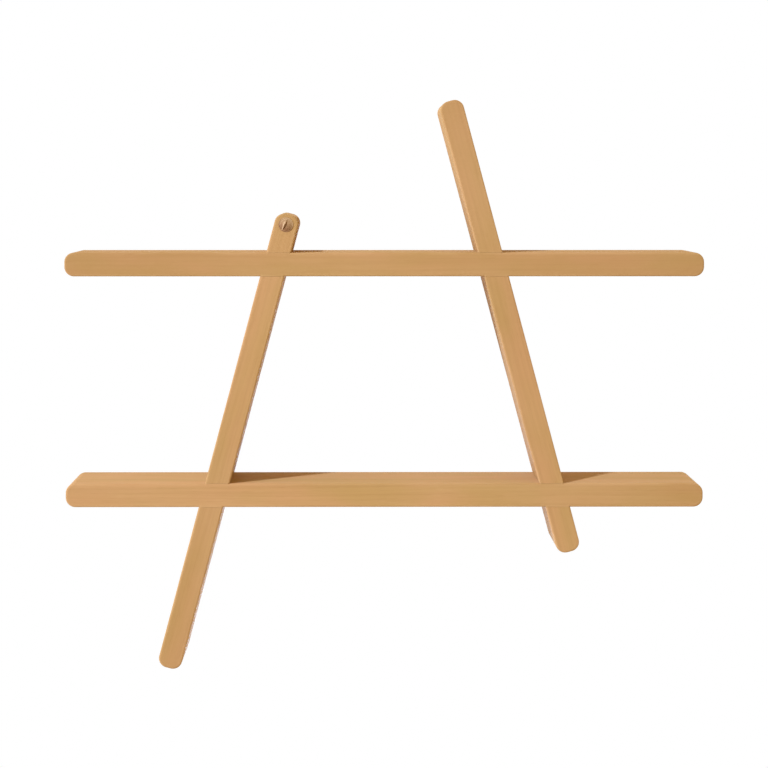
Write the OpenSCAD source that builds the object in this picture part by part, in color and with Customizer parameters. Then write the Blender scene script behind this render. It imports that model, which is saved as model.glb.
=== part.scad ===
// Wall shelf of four oak boards: two level shelves crossed by two leaning uprights.
// The boards pass each other in slanted cross-laps, flush at the front and at the wall.
// Frame: origin on the wall, at the middle of the upper shelf's back edge.
// X runs along the shelves, Y points into the wall, Z points up. Sizes are in millimetres.

/* [Boards] */
// Length of each shelf
shelf_l = 540; // [460:5:800]
// Thickness of the shelves
shelf_t = 20; // [16:0.5:26]
// Thickness of the uprights
upright_t = 20; // [18:0.5:26]
// Depth of all four boards, from the wall to the front
depth = 110; // [92:1:180]
// Radius of the corners at the boards' ends
end_r = 8; // [3:0.5:9]
// Radius of the eased arrises along the boards
arris_r = 1.6; // [0.6:0.1:2.4]

/* [Layout] */
// Height of the upper shelf above the lower one, centreline to centreline
shelf_pitch = 195.5; // [150:0.5:320]
// Lean of the uprights, in degrees from vertical
lean = 15; // [8:0.5:20]
// Distance between the uprights' centrelines at the upper shelf
upper_spread = 184; // [140:1:260]
// Length of the left upright above the upper shelf's centreline
left_top = 43.5; // [38:0.5:110]
// Length of the left upright below the lower shelf's centreline
left_tail = 152.5; // [40:0.5:220]
// Length of the right upright above the upper shelf's centreline
right_top = 142.5; // [40:0.5:220]
// Length of the right upright below the lower shelf's centreline
right_tail = 50; // [30:0.5:220]

/* [Cross-laps] */
// Depth of the slots that run into the shelves from the wall side
lap_depth = 55; // [40:1:65]
// Clearance on each side of a board in its slot
lap_gap = 0.1; // [0.05:0.05:0.4]

/* [Joint screws] */
// Thread diameter of the joint screws
joint_d = 4; // [3:0.5:5]
// Length of the joint screws, head included
joint_l = 60; // [45:1:64]
// Head diameter of the joint screws
joint_head_d = 8; // [7:0.5:10]
// Depth of the counterbores that sink the heads into the uprights' back edges
joint_sink = 22; // [12:1:30]
// Clearance round a head in its counterbore
bore_gap = 0.5; // [0.2:0.1:1]
// Clearance round a screw's shank and under its head
screw_gap = 0.05; // [0.02:0.01:0.2]

/* [Hanging slots] */
// Drop of the hanging slots' middle below the upper shelf's centreline
hang_drop = 30; // [26:0.5:60]
// Diameter of the opening that a wall screw's head passes
hang_head_d = 9.5; // [7:0.5:10]
// Width of the slot that a wall screw's neck slides up
hang_neck_d = 4.8; // [3.5:0.1:6]
// Rise from the opening's centre to the centre of the slot's upper end
hang_rise = 12; // [8:0.5:14]
// Thickness of the wood lip that hooks behind a wall screw's head
hang_lip = 4.5; // [3:0.1:6]
// Depth of the hanging slots from the wall face
hang_depth = 11; // [9:0.5:14]

/* [Front screw] */
// Distance from the left upright's top end to the front screw
front_inset = 8.7; // [7.6:0.1:30]
// Shank diameter of the front screw
front_d = 4.2; // [3:0.1:5]
// Length of the front screw below its head's rim
front_l = 30; // [16:1:45]
// Head diameter of the front screw
front_head_d = 9.8; // [7:0.1:10.6]
// Rise of the front screw's dome above the land round its rim
dome_h = 1.4; // [0.8:0.1:2]
// Outer diameter of the cup washer under the head
cup_d = 12.4; // [11.6:0.1:14]
// Height by which the cup washer stands proud of the board
cup_proud = 0.6; // [0.2:0.1:1.2]
// Radius of the cup washer's outer edge
cup_edge_r = 0.5; // [0.1:0.1:1]
// Thickness of the washer's floor below the head's cone
cup_floor = 0.2; // [0.1:0.1:0.8]
// Width of the slot in the domed head
slot_w = 1.6; // [0.8:0.1:2]
// Depth of that slot below the dome's crown
slot_deep = 1.6; // [0.8:0.1:2]
// Turn of that slot, clockwise from vertical as seen from the front
slot_turn = 25; // [0:1:90]

/* [Hidden] */
$fn = 64;
OAK = [0.80, 0.62, 0.41];
OAK_PALE = [0.83, 0.65, 0.44];
ZINC = [0.72, 0.72, 0.70];
AGED_BRASS = [0.45, 0.31, 0.18];

// Length by which a cut runs on past the face that it opens
past = 1;
// Flat that is left between the round corners of a board's end, at the least
end_flat = 1;
// Sides of the two uprights and heights of the two shelves' centrelines
LEFT = -1;
RIGHT = 1;
UPPER = 0;
LOWER = -shelf_pitch;
// Length between the two crossings, measured along an upright
crossing_l = shelf_pitch / cos(lean);
// Length of a cross-lap cutter, longer than any slanted cut through a shelf
cutter_l = 4 * shelf_t;
// Upright land round the rim of each screw's head
head_land = 0.3;
// Width and depth of the cross recess in a joint screw's head
recess_w = 0.9;
recess_deep = 1.6;
// Length of the screws' points
point_l = 5;

// X of an upright's centreline at height z
function upright_x(side, z) = side * (upper_spread / 2 - z * tan(lean));

// Height of a countersunk head's 90 degree cone
function cone_h(head_d, d) = (head_d - d) / 2;

// A rectangle centred on the origin, with round corners
module rounded_rect(w, h, r) {
    square([w - 2 * r, h], center = true);
    square([w, h - 2 * r], center = true);
    for (sx = [-1, 1], sy = [-1, 1])
        translate([sx * (w / 2 - r), sy * (h / 2 - r)]) circle(r = r);
}

// A quarter of a rod as long as the boards are deep, with its rims eased like the arrises
module end_corner(r) {
    rotate([90, 0, 0]) rotate_extrude(angle = 90) intersection() {
        rounded_rect(2 * r, depth, arris_r);
        translate([0, -depth]) square([2 * r, 2 * depth]);
    }
}

// A board centred on X and Z with its back edge on the wall: round-cornered ends, eased all round
module board(l, t) {
    r = min(end_r, (t - end_flat) / 2);
    corners = [[1, 1], [-1, 1], [-1, -1], [1, -1]];
    translate([0, -depth / 2, 0]) {
        rotate([90, 0, 90])
            linear_extrude(height = l - 2 * r, center = true) rounded_rect(depth, t, arris_r);
        linear_extrude(height = t - 2 * r, center = true) rounded_rect(l, depth, arris_r);
        for (i = [0:3])
            translate([corners[i][0] * (l / 2 - r), 0, corners[i][1] * (t / 2 - r)])
                rotate([0, -90 * i, 0]) end_corner(r);
    }
}

// Carries its children from upright to leaning: their Z axis becomes an upright's centreline,
// with z = 0 where it crosses the upper shelf's centreline
module on_upright(side) {
    translate([upright_x(side, UPPER), 0, 0]) rotate([0, -side * lean, 0]) children();
}

// The whole boards before their cross-laps are cut
module shelf_blank(z) {
    translate([0, 0, z]) board(shelf_l, shelf_t);
}

module upright_blank(side) {
    top = side == LEFT ? left_top : right_top;
    tail = side == LEFT ? left_tail : right_tail;
    l = top + crossing_l + tail;
    on_upright(side) translate([0, 0, top - l / 2]) rotate([0, 90, 0]) board(l, upright_t);
}

// The layer of a shelf between two planes of Y, wider than its board by a gap above and below
module shelf_layer(z, y0, y1, gap) {
    translate([-shelf_l / 2, y0, z - shelf_t / 2 - gap]) cube([shelf_l, y1 - y0, shelf_t + 2 * gap]);
}

// The stretch of an upright at a shelf between two planes of Y, wider by a gap on both sides
module upright_layer(side, z, y0, y1, gap) {
    translate([upright_x(side, z), 0, z]) rotate([0, -side * lean, 0])
        translate([-upright_t / 2 - gap, y0, -cutter_l / 2])
            cube([upright_t + 2 * gap, y1 - y0, cutter_l]);
}

// Turns its children, which point out of the wood along +Z, to face the wall
module facing_wall(x, y, z) {
    translate([x, y, z]) rotate([-90, 0, 0]) children();
}

// Holes for one joint screw, bored from the wall face at the origin down the -Z axis
module joint_screw_hole() {
    head_r = joint_head_d / 2;
    cone = cone_h(joint_head_d, joint_d);
    translate([0, 0, -joint_sink]) {
        cylinder(r = head_r + bore_gap, h = joint_sink + past);
        translate([0, 0, -cone])
            cylinder(r1 = joint_d / 2 + screw_gap, r2 = head_r + screw_gap, h = cone);
        translate([0, 0, -joint_l - past]) cylinder(r = joint_d / 2 + screw_gap, h = joint_l + past);
    }
}

module joint_screw_holes(z) {
    for (side = [LEFT, RIGHT]) facing_wall(upright_x(side, z), 0, z) joint_screw_hole();
}

// A shelf: whole across the front, slotted from the wall side where the uprights pass.
// At each crossing its front takes the uprights' own eased form, so the faces meet flush.
module shelf(z) {
    difference() {
        union() {
            shelf_blank(z);
            intersection() {
                union() {
                    upright_blank(LEFT);
                    upright_blank(RIGHT);
                }
                shelf_layer(z, -depth, -lap_depth, 0);
            }
        }
        for (side = [LEFT, RIGHT]) upright_layer(side, z, -lap_depth, past, lap_gap);
        joint_screw_holes(z);
    }
}

// An upright: whole along the wall side, notched from the front where the shelves pass
module upright(side) {
    difference() {
        union() {
            upright_blank(side);
            for (z = [UPPER, LOWER]) intersection() {
                shelf_blank(z);
                upright_layer(side, z, -lap_depth, 0, 0);
            }
        }
        for (z = [UPPER, LOWER]) {
            shelf_layer(z, -depth - past, -lap_depth, lap_gap);
            facing_wall(upright_x(side, z), 0, z) joint_screw_hole();
        }
        facing_wall(upright_x(side, -hang_drop), 0, -hang_drop) hanging_slot();
    }
}

// Keyhole slot, cut from the wall face at the origin down the -Z axis; its Y axis points down
module hanging_slot() {
    head_r = hang_head_d / 2;
    neck_r = hang_neck_d / 2;
    low = hang_rise / 2;
    translate([0, low, -hang_depth]) cylinder(r = head_r, h = hang_depth + past);
    translate([0, -low, -hang_depth]) {
        cylinder(r = head_r, h = hang_depth - hang_lip);
        translate([-head_r, 0, 0]) cube([hang_head_d, hang_rise, hang_depth - hang_lip]);
        cylinder(r = neck_r, h = hang_depth + past);
        translate([-neck_r, 0, 0]) cube([hang_neck_d, hang_rise, hang_depth + past]);
    }
}

// Right half of a countersunk wood screw's section: the cone's rim is at y = 0, below a head
// of height crown, and the point is at y = -l
module screw_section(d, head_d, l, crown) {
    cone = cone_h(head_d, d);
    polygon([[0, crown], [head_d / 2, crown], [head_d / 2, 0], [d / 2, -cone],
             [d / 2, point_l - l], [0, -l]]);
}

module joint_screw(side, z) {
    color(ZINC) facing_wall(upright_x(side, z), -joint_sink, z) difference() {
        rotate_extrude() screw_section(joint_d, joint_head_d, joint_l, head_land);
        for (turn = [0, 90]) rotate([0, 0, turn])
            translate([-joint_d / 2, -recess_w / 2, head_land - recess_deep])
                cube([joint_d, recess_w, recess_deep + past]);
    }
}

// Place of the front screw on the left upright's centreline
front_up = left_top - front_inset;
cup_h = cone_h(front_head_d, front_d) + cup_floor;

module at_front_screw() {
    on_upright(LEFT) translate([0, -depth, front_up]) rotate([90, 0, 0]) children();
}

// Seat for the cup washer and pilot hole for its screw
module front_screw_hole() {
    translate([0, 0, cup_proud - cup_h]) cylinder(r = cup_d / 2 + screw_gap, h = cup_h + past);
    translate([0, 0, cup_proud - front_l - past])
        cylinder(r = front_d / 2 + screw_gap, h = front_l + past);
}

// The dome that ends the front screw's head, with all that lies below it
module below_dome() {
    rim_r = front_head_d / 2;
    dome_r = (rim_r * rim_r + dome_h * dome_h) / (2 * dome_h);
    translate([0, head_land + dome_h - dome_r]) circle(r = dome_r);
    translate([0, -front_l - past]) square([rim_r + past, front_l + past]);
}

// Domed and slotted wood screw; its rim is level with the cup washer's face
module front_screw() {
    crown = head_land + dome_h;
    color(AGED_BRASS) at_front_screw() translate([0, 0, cup_proud]) difference() {
        rotate_extrude() intersection() {
            screw_section(front_d, front_head_d, front_l, crown);
            below_dome();
        }
        rotate([0, 0, lean - slot_turn])
            translate([-slot_w / 2, -front_head_d, crown - slot_deep])
                cube([slot_w, 2 * front_head_d, slot_deep + past]);
    }
}

// Turned cup washer, let into the board, with a round outer edge and a coned seat
module front_screw_washer() {
    edge_r = min(cup_edge_r, cup_proud);
    cone = cone_h(front_head_d, front_d);
    color(AGED_BRASS) at_front_screw() translate([0, 0, cup_proud - cup_h]) difference() {
        rotate_extrude() {
            square([cup_d / 2, cup_h - edge_r]);
            square([cup_d / 2 - edge_r, cup_h]);
            translate([cup_d / 2 - edge_r, cup_h - edge_r]) circle(r = edge_r);
        }
        translate([0, 0, -past]) cylinder(r = front_d / 2 + screw_gap, h = cup_h + 2 * past);
        translate([0, 0, cup_floor])
            cylinder(r1 = front_d / 2 + screw_gap, r2 = front_head_d / 2 + screw_gap, h = cone);
    }
}

module upper_shelf() { color(OAK) shelf(UPPER); }
module lower_shelf() { color(OAK) shelf(LOWER); }
module right_upright() { color(OAK_PALE) upright(RIGHT); }
module left_upright() {
    color(OAK_PALE) difference() {
        upright(LEFT);
        at_front_screw() front_screw_hole();
    }
}

upper_shelf();
lower_shelf();
left_upright();
right_upright();
joint_screw(LEFT, UPPER);  // upper_left_joint_screw
joint_screw(RIGHT, UPPER);  // upper_right_joint_screw
joint_screw(LEFT, LOWER);  // lower_left_joint_screw
joint_screw(RIGHT, LOWER);  // lower_right_joint_screw
front_screw();
front_screw_washer();
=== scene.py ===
import math

import bpy
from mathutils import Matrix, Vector


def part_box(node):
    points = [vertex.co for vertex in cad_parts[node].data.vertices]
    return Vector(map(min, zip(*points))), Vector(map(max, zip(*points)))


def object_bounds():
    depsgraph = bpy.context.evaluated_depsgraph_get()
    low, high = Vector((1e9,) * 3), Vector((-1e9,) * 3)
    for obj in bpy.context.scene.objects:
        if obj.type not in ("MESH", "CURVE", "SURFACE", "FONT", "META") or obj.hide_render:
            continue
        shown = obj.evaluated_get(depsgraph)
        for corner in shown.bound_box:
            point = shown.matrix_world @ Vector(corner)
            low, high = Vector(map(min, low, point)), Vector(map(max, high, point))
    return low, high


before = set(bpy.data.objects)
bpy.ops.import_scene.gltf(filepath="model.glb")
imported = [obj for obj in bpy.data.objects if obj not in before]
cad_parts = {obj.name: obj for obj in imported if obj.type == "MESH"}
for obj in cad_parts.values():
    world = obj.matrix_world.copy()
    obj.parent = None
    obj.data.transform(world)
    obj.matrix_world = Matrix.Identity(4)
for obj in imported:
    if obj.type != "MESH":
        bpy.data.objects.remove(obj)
cad_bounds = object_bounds()

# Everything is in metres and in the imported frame: X along the shelves, +Y into the wall, Z up.
# Colours are linear RGB. Each pair named _EDGE, _BEGINS or _ENDS holds the two values between
# which something rises or falls, and each size named _CELLS counts a noise's cells per metre.

# The camera stands in front of the shelf, a little left of its middle and looking slightly down
LENS_MM = 149.6
SENSOR_MM = 36
CAMERA_AT = Vector((-0.02325, -2.8031, 0.06822))
CAMERA_PITCH = math.radians(3.595)
CAMERA_YAW = math.radians(0.486)

# Levels of light, as shares of the level at which a colour renders as it is written. The light
# from all round is warm and the lamps are cool, so that together they are white on the front.
WORLD_LIGHT = (0.545, 0.430, 0.12, 1)
LAMP_COLOUR = (0.552, 0.698, 1.0)
# Each lamp: the direction in which its light travels, its distance, its width and its level
LAMPS = {
    "key_lamp": dict(travel=(0.64, 1.0, -0.865), away=3.2, wide=0.16, level=1.125),
    "left_lamp": dict(travel=(1.0, 0.20, 0.05), away=2.2, wide=1.4, level=0.92),
    "right_lamp": dict(travel=(-1.0, -0.10, 0), away=2.2, wide=1.4, level=0.62),
    "back_lamp": dict(travel=(-0.1, -1.0, 0.38), away=2.4, wide=1.2, level=0.50),
}

# The floor lies well below the hung shelf, and fades into the white round it
FLOOR_DROP = 1.2
FLOOR_R = 3.0
FLOOR_FADE_R = 1.6
FLOOR_SIDES = 96
FLOOR_COLOUR = (0.86, 0.86, 0.85, 1)
WHITE = (1, 1, 1, 1)

# Oak. Cells are counted across a board's thickness, through its depth and along it.
OAK_ROSE = (0.620, 0.332, 0.142, 1)
OAK_OLIVE = (0.560, 0.322, 0.116, 1)
OAK_PALE = (0.680, 0.410, 0.190, 1)
OAK_DARK = (0.400, 0.195, 0.064, 1)
# Rings, and how far slow sways and short ripples move them
RING_W = 0.0034
SWAY_CELLS = (9, 9, 2.6)
SWAY_BY = 0.018
RIPPLE_CELLS = (60, 60, 7)
RIPPLE_BY = 0.0055
# The part of a ring that is porous early wood, and how much of it the poorest year has
EARLY_BEGINS = (0.0, 0.16)
EARLY_ENDS = (0.22, 0.95)
EARLY_LEAST = 0.15
EARLY_SHARE = 0.10
# Rays, as cells round the pith at the radius below, out from it and along
RAY_R = 0.08
RAY_CELLS = (1500, 120, 60)
RAY_EDGE = (0.60, 0.74)
RAY_SHARE = 0.12
# Pores, and how many of them late wood has beside early wood
PORE_CELLS = (2100, 2100, 70)
PORE_EDGE = (0.56, 0.70)
PORE_LATE = 0.2
PORE_SHARE = 0.35
FIBRE_CELLS = (420, 420, 6)
FIBRE_EDGE = (0.35, 0.80)
FIBRE_SHARE = 0.18
# Slow changes of colour
HUE_CELLS = (40, 34, 12)
HUE_EDGE = (0.30, 0.70)
CLOUD_CELLS = (24, 24, 7)
CLOUD_EDGE = (0.35, 0.75)
CLOUD_SHARE = 0.35
# The arrises, and how pale they are: worn, and a painted highlight along them
ARRIS_W = 0.0030
ARRIS_PALE_CELLS = (40, 40, 22)
ARRIS_PALE_EDGE = (0.3, 0.7)
ARRIS_PALE_SHARE = 0.4
OAK_ROUGH = 0.60
OAK_ROUGHER = 0.14
FIBRE_RISE = 0.5
PORE_RISE = -1.0
EARLY_RISE = -0.3
OAK_BUMP = (0.35, 0.00008)
OAK_GLOSS = {"IOR": 1.45, "Specular IOR Level": 0.07, "Diffuse Roughness": 0.5}
# Each board: its place in the noise, the heart of the tree across the board, the slope of its
# grain, and how much darker it is towards its left or lower end, in its middle and towards its
# other end
BOARDS = {
    "upper_shelf": dict(start=(3.1, 2.17, 4.03), pith=(-0.085, -0.02), tilt=0.012,
                        dark=(0.42, 0.17, 0.30)),
    "lower_shelf": dict(start=(7.7, 5.39, 10.01), pith=(0.10, -0.15), tilt=0.012,
                        dark=(0.08, 0.0, 0.17)),
    "left_upright": dict(start=(12.3, 8.61, 15.99), pith=(0.07, -0.19), tilt=-0.010,
                         dark=(0.22, 0.07, 0.10)),
    "right_upright": dict(start=(19.9, 13.93, 25.87), pith=(-0.09, -0.16), tilt=-0.010,
                          dark=(0.02, 0.17, 0.42)),
}

# Aged brass, with rings left by the lathe that fade in from its centre
BRASS_DARK = (0.050, 0.022, 0.010, 1)
# Brown is also painted shade on the lower side, and tan also painted light on the upper side
BRASS_BROWN = (0.325, 0.150, 0.060, 1)
BRASS_TAN = (0.530, 0.322, 0.150, 1)
# Painted light: the painted highlight beside the slot and the lightened floor of the slot
BRASS_PAINTED_LIGHT = (0.82, 0.56, 0.32, 1)
PATCH_CELLS = (620, 620, 620)
SPECK_CELLS = (2600, 2600, 2600)
TURNED_W = 0.0025
TURNED_EDGE = (0.0015, 0.0045)
# How far it goes from brown to tan: a base, what rubbed patches and rings add, and what each metre
# to the right and up adds as painted light, which leaves painted shade below
RUBBED_AND_LIT_BASE = -1.55
RUBBED_PATCHES = 2.8
RUBBED_RINGS = 0.50
PAINTED_LIGHT_RIGHT = 90
PAINTED_LIGHT_UP = 230
RUBBED_AND_LIT_EDGE = (-1.2, 1.2)
# The slot: how it is turned, half its width less a little, and how deep its floor begins
SLOT_TURN = math.radians(25)
SLOT_SIDE_ENDS = (0.00064, 0.000768)
SLOT_FLOOR_EDGE = (0.0004, 0.0011)
# The slot's floor: where it goes from darker at its lower end to painted light above, and how much
# it shows
SLOT_FLOOR_RISE = (-0.0050, -0.0015)
SLOT_FLOOR_SHARE = 0.7
# A painted highlight on the slot's left, standing in for its lit edge: its slope, its two sides,
# its upper end and the rim
HIGHLIGHT_LEAN = 0.09
HIGHLIGHT_BEGINS = (0.0015, 0.0017)
HIGHLIGHT_ENDS = (0.0019, 0.0022)
HIGHLIGHT_TOP_ENDS = (0.0012, 0.0024)
HIGHLIGHT_RIM_ENDS = (0.0054, 0.0062)
BRASS_ROUGH = 0.70
BRASS_ROUGHER = 0.20
BRASS_BUMP = (0.3, 0.00005)
BRASS_METAL = {"Metallic": 0.40}

# Zinc plate
ZINC = (0.52, 0.53, 0.54, 1)
ZINC_DULL = (0.36, 0.36, 0.35, 1)
ZINC_CELLS = (900, 900, 900)
ZINC_EDGE = (0.35, 0.7)
ZINC_ROUGH = 0.28
ZINC_ROUGHER = 0.2
ZINC_BUMP = (0.15, 0.00003)
ZINC_METAL = {"Metallic": 1.0}


def put(tree, kind, inputs=None, **settings):
    """Adds a node. Inputs maps a socket to a value, or to the output that feeds it."""
    node = tree.nodes.new(kind)
    for name, setting in settings.items():
        setattr(node, name, setting)
    for socket, source in (inputs or {}).items():
        if isinstance(source, bpy.types.NodeSocket):
            tree.links.new(source, node.inputs[socket])
        else:
            node.inputs[socket].default_value = source
    return node


def calc(tree, operation, *values, clamp=False):
    """One step of arithmetic on numbers or outputs."""
    return put(tree, "ShaderNodeMath", dict(enumerate(values)),
               operation=operation, use_clamp=clamp).outputs[0]


def product(tree, first, *others):
    for other in others:
        first = calc(tree, "MULTIPLY", first, other)
    return first


def distance(tree, across, along):
    """How far a point is from the origin of a plane."""
    squares = calc(tree, "ADD", product(tree, across, across), product(tree, along, along))
    return calc(tree, "SQRT", squares)


def step_up(tree, value, start, end, low=0.0, high=1.0):
    """A smooth rise from low to high as value goes from start to end."""
    return put(tree, "ShaderNodeMapRange",
               {"Value": value, "From Min": start, "From Max": end, "To Min": low, "To Max": high},
               interpolation_type="SMOOTHSTEP").outputs[0]


def step_down(tree, value, start, end):
    return step_up(tree, value, start, end, 1.0, 0.0)


def blend_colour(tree, share, low, high):
    """Goes from colour low to colour high as share goes from 0 to 1."""
    return put(tree, "ShaderNodeMix", {0: share, 6: low, 7: high}, data_type="RGBA").outputs[2]


def object_place(tree):
    """The place on the object, which is its place in the frame."""
    return put(tree, "ShaderNodeTexCoord").outputs["Object"]


def place_from(tree, at, turn=0.0):
    """The place on the object, measured from the point at along axes turned about Y."""
    return put(tree, "ShaderNodeMapping",
               {"Vector": object_place(tree), "Location": at, "Rotation": (0, turn, 0)},
               vector_type="TEXTURE").outputs[0]


def split(tree, vector):
    return put(tree, "ShaderNodeSeparateXYZ", {0: vector}).outputs


def noise(tree, vector, cells, detail=2.0, rough=0.5):
    """Smooth noise between 0 and 1."""
    stretched = put(tree, "ShaderNodeVectorMath", {0: vector, 1: cells}, operation="MULTIPLY")
    return put(tree, "ShaderNodeTexNoise",
               {"Vector": stretched.outputs[0], "Scale": 1.0, "Detail": detail, "Roughness": rough}
               ).outputs["Fac"]


def new_material(name):
    material = bpy.data.materials.new(name)
    material.use_nodes = True
    tree = material.node_tree
    tree.nodes.clear()
    return material, tree


def end_material(tree, tone, rough, bump, height, sockets):
    """Ends a material with a bumped surface. Bump is a strength and a depth in metres, and
    sockets are the values that are the same all over."""
    strength, depth = bump
    bumped = put(tree, "ShaderNodeBump",
                 {"Strength": strength, "Distance": depth, "Height": height})
    shader = put(tree, "ShaderNodeBsdfPrincipled",
                 {"Base Color": tone, "Roughness": rough, "Normal": bumped.outputs[0], **sockets})
    put(tree, "ShaderNodeOutputMaterial", {"Surface": shader.outputs[0]})


def centre(node):
    low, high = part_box(node)
    return (low + high) / 2


def oak(name, at, turn, size, reach, start, pith, tilt, dark):
    """Oiled oak for one board. Its grain is solid: the rings, pores and rays run through the
    board, so that faces, edges and ends agree.

    at and turn carry the Z axis to the board's centreline; size is its thickness and depth; reach
    is the distance from at where the ends' tones are met; BOARDS explains the others."""
    material, tree = new_material(name)
    thick, depth = size
    board = place_from(tree, at, turn)
    axes = split(tree, board)
    moved = put(tree, "ShaderNodeVectorMath", {0: board, 1: start}, operation="ADD").outputs[0]

    # Rings: the distance from the pith, with a slow sway along the board and uneven years
    across = calc(tree, "ADD", calc(tree, "MULTIPLY_ADD", axes[2], tilt, axes[0]), -pith[0])
    deep = calc(tree, "ADD", axes[1], -pith[1])
    radius = distance(tree, across, deep)
    ripple = noise(tree, moved, RIPPLE_CELLS)
    wavy = calc(tree, "MULTIPLY_ADD", ripple, RIPPLE_BY, radius)
    sway = noise(tree, moved, SWAY_CELLS, detail=1.0)
    wavy = calc(tree, "MULTIPLY_ADD", sway, SWAY_BY, wavy)
    years = calc(tree, "DIVIDE", wavy, RING_W)
    year = put(tree, "ShaderNodeTexWhiteNoise", {"W": calc(tree, "FLOOR", years)},
               noise_dimensions="1D").outputs["Value"]
    ring = calc(tree, "FRACT", years)
    early = product(tree, step_up(tree, ring, *EARLY_BEGINS), step_down(tree, ring, *EARLY_ENDS),
                    calc(tree, "MULTIPLY_ADD", year, 1 - EARLY_LEAST, EARLY_LEAST))

    # Rays: thin sheets that stand out from the pith. Pores and fibres: long and thin.
    arc = calc(tree, "MULTIPLY", calc(tree, "ARCTAN2", across, deep), RAY_R)
    polar = put(tree, "ShaderNodeCombineXYZ", {0: arc, 1: radius, 2: axes[2]}).outputs[0]
    ray = step_up(tree, noise(tree, polar, RAY_CELLS, detail=1.0), *RAY_EDGE)
    pore = step_up(tree, noise(tree, moved, PORE_CELLS, detail=1.5), *PORE_EDGE)
    pore = product(tree, pore, calc(tree, "MULTIPLY_ADD", early, 1 - PORE_LATE, PORE_LATE))
    fibre = noise(tree, moved, FIBRE_CELLS, detail=3.0, rough=0.6)
    cloud = noise(tree, moved, CLOUD_CELLS)
    hue = noise(tree, moved, HUE_CELLS)

    tone = blend_colour(tree, step_up(tree, hue, *HUE_EDGE), OAK_OLIVE, OAK_ROSE)
    tone = blend_colour(tree, step_up(tree, cloud, *CLOUD_EDGE, 0.0, CLOUD_SHARE), tone, OAK_PALE)
    tone = blend_colour(tree, product(tree, early, EARLY_SHARE), tone, OAK_DARK)
    tone = blend_colour(tree, step_up(tree, fibre, *FIBRE_EDGE, 0.0, FIBRE_SHARE), tone, OAK_DARK)
    tone = blend_colour(tree, product(tree, ray, RAY_SHARE), tone, OAK_PALE)
    tone = blend_colour(tree, product(tree, pore, PORE_SHARE), tone, OAK_DARK)
    low, middle, high = dark
    low_half = step_up(tree, axes[2], -reach, 0, low, middle)
    high_half = step_up(tree, axes[2], 0, reach, 0, high - middle)
    tone = blend_colour(tree, calc(tree, "ADD", low_half, high_half), tone, OAK_DARK)

    # The arrises are handled most and have worn a little paler, and the paleness is also a painted
    # highlight along them
    from_middle = calc(tree, "ABSOLUTE", axes[0])
    from_depth_middle = calc(tree, "ABSOLUTE", calc(tree, "ADD", axes[1], depth / 2))
    arris_wear_and_highlight = product(tree, step_up(tree, from_middle, thick / 2 - ARRIS_W, thick / 2),
                   step_up(tree, from_depth_middle, depth / 2 - ARRIS_W, depth / 2),
                   step_up(tree, noise(tree, moved, ARRIS_PALE_CELLS), *ARRIS_PALE_EDGE))
    tone = blend_colour(tree, product(tree, arris_wear_and_highlight, ARRIS_PALE_SHARE), tone, OAK_PALE)

    rough = calc(tree, "MULTIPLY_ADD", fibre, OAK_ROUGHER, OAK_ROUGH)
    rough = calc(tree, "MULTIPLY_ADD", pore, OAK_ROUGHER, rough)
    height = calc(tree, "MULTIPLY_ADD", pore, PORE_RISE, product(tree, early, EARLY_RISE))
    height = calc(tree, "MULTIPLY_ADD", fibre, FIBRE_RISE, height)
    end_material(tree, tone, rough, OAK_BUMP, height, OAK_GLOSS)
    return material


def aged_brass(at):
    """Brass under a brown patina, for the turned screw and washer round the point at: tan where
    rubbed, with painted light that makes it tan above and to the right, painted shade that makes
    it brown below, and a painted highlight beside the slot."""
    material, tree = new_material("aged_brass")
    place = object_place(tree)
    patches = noise(tree, place, PATCH_CELLS, detail=3.0, rough=0.6)
    specks = noise(tree, place, SPECK_CELLS)
    axes = split(tree, place_from(tree, at))
    slot = split(tree, place_from(tree, at, SLOT_TURN))
    out = distance(tree, axes[0], axes[2])

    wave = calc(tree, "COSINE", calc(tree, "MULTIPLY", out, 2 * math.pi / TURNED_W))
    turned = product(tree, wave, step_up(tree, out, *TURNED_EDGE))
    # Tan where rubbed in patches and rings, plus painted light rising to the right and up, and
    # painted shade below
    rubbed_and_lit = RUBBED_AND_LIT_BASE
    for part, weight in ((turned, RUBBED_RINGS), (patches, RUBBED_PATCHES),
                         (axes[0], PAINTED_LIGHT_RIGHT), (axes[2], PAINTED_LIGHT_UP)):
        rubbed_and_lit = calc(tree, "MULTIPLY_ADD", part, weight, rubbed_and_lit)
    tone = blend_colour(tree, step_up(tree, rubbed_and_lit, *RUBBED_AND_LIT_EDGE), BRASS_BROWN, BRASS_TAN)

    # A painted highlight beside the slot, on its left and mostly below the middle
    left = calc(tree, "MULTIPLY", slot[0], -1.0)
    aside = calc(tree, "MULTIPLY_ADD", slot[2], -HIGHLIGHT_LEAN, left)
    slot_highlight = product(tree, step_up(tree, aside, *HIGHLIGHT_BEGINS),
                      step_down(tree, aside, *HIGHLIGHT_ENDS),
                      step_down(tree, slot[2], *HIGHLIGHT_TOP_ENDS),
                      step_down(tree, out, *HIGHLIGHT_RIM_ENDS))
    tone = blend_colour(tree, slot_highlight, tone, BRASS_PAINTED_LIGHT)

    # The slot's floor is darker towards its lower end and painted light above, which lifts the
    # shade in the slot
    floor_dark_and_painted_light = blend_colour(tree, step_up(tree, slot[2], *SLOT_FLOOR_RISE), BRASS_DARK, BRASS_PAINTED_LIGHT)
    inside = step_down(tree, calc(tree, "ABSOLUTE", slot[0]), *SLOT_SIDE_ENDS)
    sunk = step_up(tree, axes[1], *SLOT_FLOOR_EDGE, 0.0, SLOT_FLOOR_SHARE)
    tone = blend_colour(tree, product(tree, inside, sunk), tone, floor_dark_and_painted_light)

    rough = calc(tree, "MULTIPLY_ADD", patches, BRASS_ROUGHER, BRASS_ROUGH)
    end_material(tree, tone, rough, BRASS_BUMP, specks, BRASS_METAL)
    return material


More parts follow.
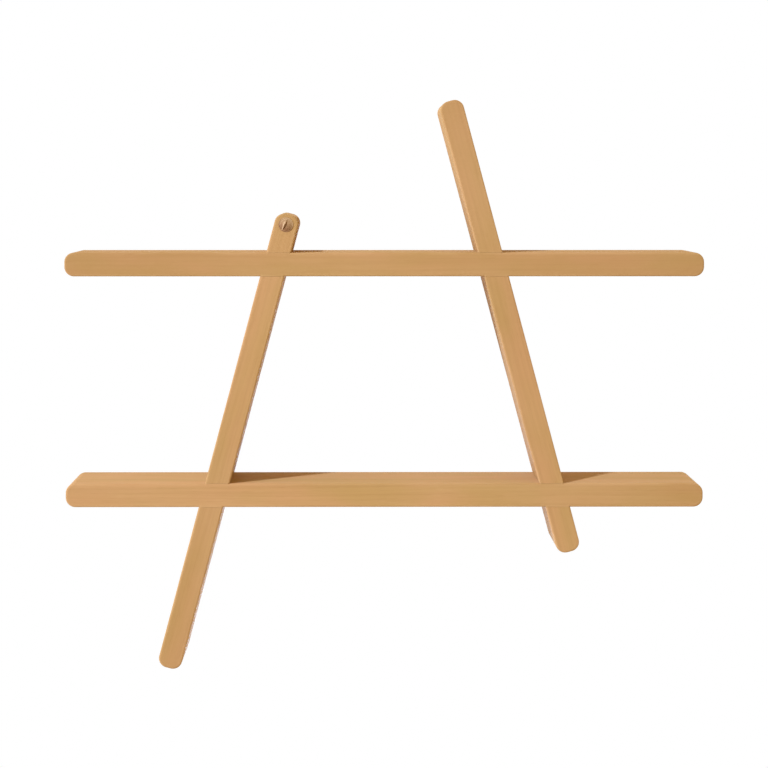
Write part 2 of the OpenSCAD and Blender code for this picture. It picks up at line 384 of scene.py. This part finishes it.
def zinc_plate():
    material, tree = new_material("zinc_plate")
    patches = noise(tree, object_place(tree), ZINC_CELLS, detail=4.0, rough=0.6)
    tone = blend_colour(tree, step_up(tree, patches, *ZINC_EDGE), ZINC, ZINC_DULL)
    rough = calc(tree, "MULTIPLY_ADD", patches, ZINC_ROUGHER, ZINC_ROUGH)
    end_material(tree, tone, rough, ZINC_BUMP, patches, ZINC_METAL)
    return material


def wear(node, material):
    """Gives a CAD node its material."""
    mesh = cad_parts[node].data
    mesh.materials.clear()
    mesh.materials.append(material)


def dress_boards():
    """All four boards have the shelves' section. An upright's grain is measured from its upper
    crossing, and a shelf's from its middle."""
    low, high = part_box("upper_shelf")
    size = (high.z - low.z, high.y - low.y)
    reach = (high.x - low.x) / 2
    lies = {}
    for node in ("upper_shelf", "lower_shelf"):
        lies[node] = (centre(node), math.radians(90))
    for side in ("left", "right"):
        upper = centre(f"upper_{side}_joint_screw")
        lower = centre(f"lower_{side}_joint_screw")
        turn = math.atan2(upper.x - lower.x, upper.z - lower.z)
        lies[side + "_upright"] = (upper, turn)
    for node, (middle, turn) in lies.items():
        at = (middle.x, 0, middle.z)
        wear(node, oak(node + "_oak", at, turn, size, reach, **BOARDS[node]))


def dress_screws():
    low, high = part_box("front_screw_washer")
    brass = aged_brass(((low.x + high.x) / 2, low.y, (low.z + high.z) / 2))
    for node in ("front_screw", "front_screw_washer"):
        wear(node, brass)
    zinc = zinc_plate()
    for side in ("left", "right"):
        for level in ("upper", "lower"):
            wear(f"{level}_{side}_joint_screw", zinc)


def add_camera():
    data = bpy.data.cameras.new("camera")
    data.lens = LENS_MM
    data.sensor_width = SENSOR_MM
    camera = bpy.data.objects.new("camera", data)
    camera.location = CAMERA_AT
    camera.rotation_euler = (math.pi / 2 - CAMERA_PITCH, 0, -CAMERA_YAW)
    bpy.context.scene.collection.objects.link(camera)
    bpy.context.scene.camera = camera


def add_lamp(name, travel, away, wide, level):
    """A square lamp whose light travels towards the object's middle, at a level that doesn't
    depend on its distance."""
    middle = (Vector(cad_bounds[0]) + Vector(cad_bounds[1])) / 2
    travel = Vector(travel)
    data = bpy.data.lights.new(name, "AREA")
    data.size = wide
    data.energy = level * (math.pi * away) ** 2
    data.color = LAMP_COLOUR
    lamp = bpy.data.objects.new(name, data)
    lamp.location = middle - travel.normalized() * away
    lamp.rotation_euler = travel.to_track_quat("-Z", "Y").to_euler()
    bpy.context.scene.collection.objects.link(lamp)


def seen_directly(tree):
    """1 on rays that show the background itself, in the picture, a reflection or glass."""
    path = put(tree, "ShaderNodeLightPath").outputs
    reflected = calc(tree, "ADD", path["Is Glossy Ray"], path["Is Transmission Ray"])
    return calc(tree, "ADD", path["Is Camera Ray"], reflected, clamp=True)


def light_world():
    world = bpy.data.worlds.new("studio")
    world.use_nodes = True
    tree = world.node_tree
    tree.nodes.clear()
    light = blend_colour(tree, seen_directly(tree), WORLD_LIGHT, WHITE)
    background = put(tree, "ShaderNodeBackground", {"Color": light, "Strength": 1.0})
    put(tree, "ShaderNodeOutputWorld", {"Surface": background.outputs[0]})
    bpy.context.scene.world = world


def add_floor():
    """A pale round floor that takes the shelf's shadow and fades to the white round it. A camera
    below it looks through it, at the shelf's underside."""
    bpy.ops.mesh.primitive_circle_add(vertices=FLOOR_SIDES, radius=FLOOR_R, fill_type="NGON",
                                      location=(0, 0, cad_bounds[0][2] - FLOOR_DROP))
    floor = bpy.context.object
    floor.name = "floor"
    material, tree = new_material("pale_floor")
    out = put(tree, "ShaderNodeVectorMath", {0: object_place(tree)},
              operation="LENGTH").outputs["Value"]
    share = product(tree, step_up(tree, out, FLOOR_FADE_R, FLOOR_R), seen_directly(tree))
    pale = put(tree, "ShaderNodeBsdfDiffuse", {"Color": FLOOR_COLOUR})
    white = put(tree, "ShaderNodeEmission", {"Color": WHITE, "Strength": 1.0})
    top = put(tree, "ShaderNodeMixShader", {0: share, 1: pale.outputs[0], 2: white.outputs[0]})
    clear = put(tree, "ShaderNodeBsdfTransparent")
    below = product(tree, put(tree, "ShaderNodeNewGeometry").outputs["Backfacing"],
                    put(tree, "ShaderNodeLightPath").outputs["Is Camera Ray"])
    surface = put(tree, "ShaderNodeMixShader", {0: below, 1: top.outputs[0], 2: clear.outputs[0]})
    put(tree, "ShaderNodeOutputMaterial", {"Surface": surface.outputs[0]})
    floor.data.materials.append(material)


dress_boards()
dress_screws()
add_camera()
light_world()
for lamp_name, lamp_facts in LAMPS.items():
    add_lamp(lamp_name, **lamp_facts)
add_floor()
bpy.context.scene.view_settings.view_transform = "Standard"
